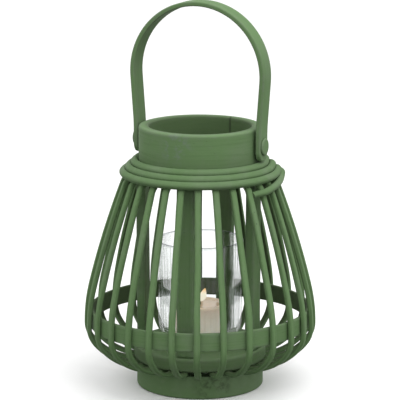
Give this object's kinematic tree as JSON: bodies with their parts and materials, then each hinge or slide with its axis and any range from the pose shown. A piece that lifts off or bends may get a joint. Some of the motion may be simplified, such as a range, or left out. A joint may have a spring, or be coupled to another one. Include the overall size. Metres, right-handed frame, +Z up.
{
  "type": "candle lantern",
  "caption": "Pear-shaped candle lantern of bent cane ribs on a round wooden foot, with a wide open collar, a swinging strap handle and a glass tumbler that holds a candle.",
  "frame": {"origin": "centre of the foot ring's underside, on the surface the lantern stands on", "axes": "+Z up through the collar; +X along the handle's rivets; +Y completes the frame, and the front is towards -Y"},
  "size_m": [0.2212, 0.2212, 0.3687],
  "materials": {
    "painted_cane": "matt green paint over cane",
    "painted_wood": "matt green paint over wood, with faint grain",
    "painted_rivet": "matt green paint",
    "plain_steel": "plain zinc-plated",
    "plain_wood": "unpainted",
    "clear_glass": "clear, smooth",
    "cream_wax": "satin wax, glowing near the wick",
    "wick_cotton": "charred cotton"
  },
  "bodies": {
    "frame": {"foot_ring": "painted_wood", "foot_screws": "plain_steel", "base_disc": "painted_wood", "belly_hoop": "painted_wood", "collar": "painted_wood", "upright_dowels": "plain_wood", "cane_end": "painted_cane", "upright_front": "painted_wood", "upright_right": "painted_wood", "upright_back": "painted_wood", "upright_left": "painted_wood", "cane_coil_top": "painted_cane", "cane_coil_middle": "painted_cane", "cane_coil_low": "painted_cane", "handle_rivet_right": "painted_rivet", "handle_rivet_left": "painted_rivet", "clinch_washer_right": "plain_steel", "clinch_washer_left": "plain_steel", "rib_01": "painted_cane", "rib_02": "painted_cane", "rib_03": "painted_cane", "rib_04": "painted_cane", "rib_05": "painted_cane", "rib_06": "painted_cane", "rib_07": "painted_cane", "rib_08": "painted_cane", "rib_09": "painted_cane", "rib_10": "painted_cane", "rib_11": "painted_cane", "rib_12": "painted_cane", "rib_13": "painted_cane", "rib_14": "painted_cane", "rib_15": "painted_cane", "rib_16": "painted_cane", "rib_17": "painted_cane", "rib_18": "painted_cane", "rib_19": "painted_cane", "rib_20": "painted_cane", "rib_21": "painted_cane", "rib_22": "painted_cane", "rib_23": "painted_cane", "rib_24": "painted_cane", "rib_25": "painted_cane", "rib_26": "painted_cane", "rib_27": "painted_cane", "rib_28": "painted_cane"},
    "handle": {"handle_strap": "painted_wood"},
    "glass": {"glass_tumbler": "clear_glass"},
    "candle": {"candle_wax": "cream_wax", "candle_wick": "wick_cotton"}
  },
  "joints": [
    {"name": "handle_swing", "type": "hinge", "parent": "frame", "child": "handle", "pos_m": [0, 0, 0.235], "axis": [1, 0, 0], "range_deg": [-100, 100]},
    {"name": "glass_lift", "type": "slide", "parent": "frame", "child": "glass", "axis": [0, 0, 1], "range_m": [0, 0.205]},
    {"name": "candle_lift", "type": "slide", "parent": "glass", "child": "candle", "axis": [0, 0, 1], "range_m": [0, 0.205]}
  ]
}
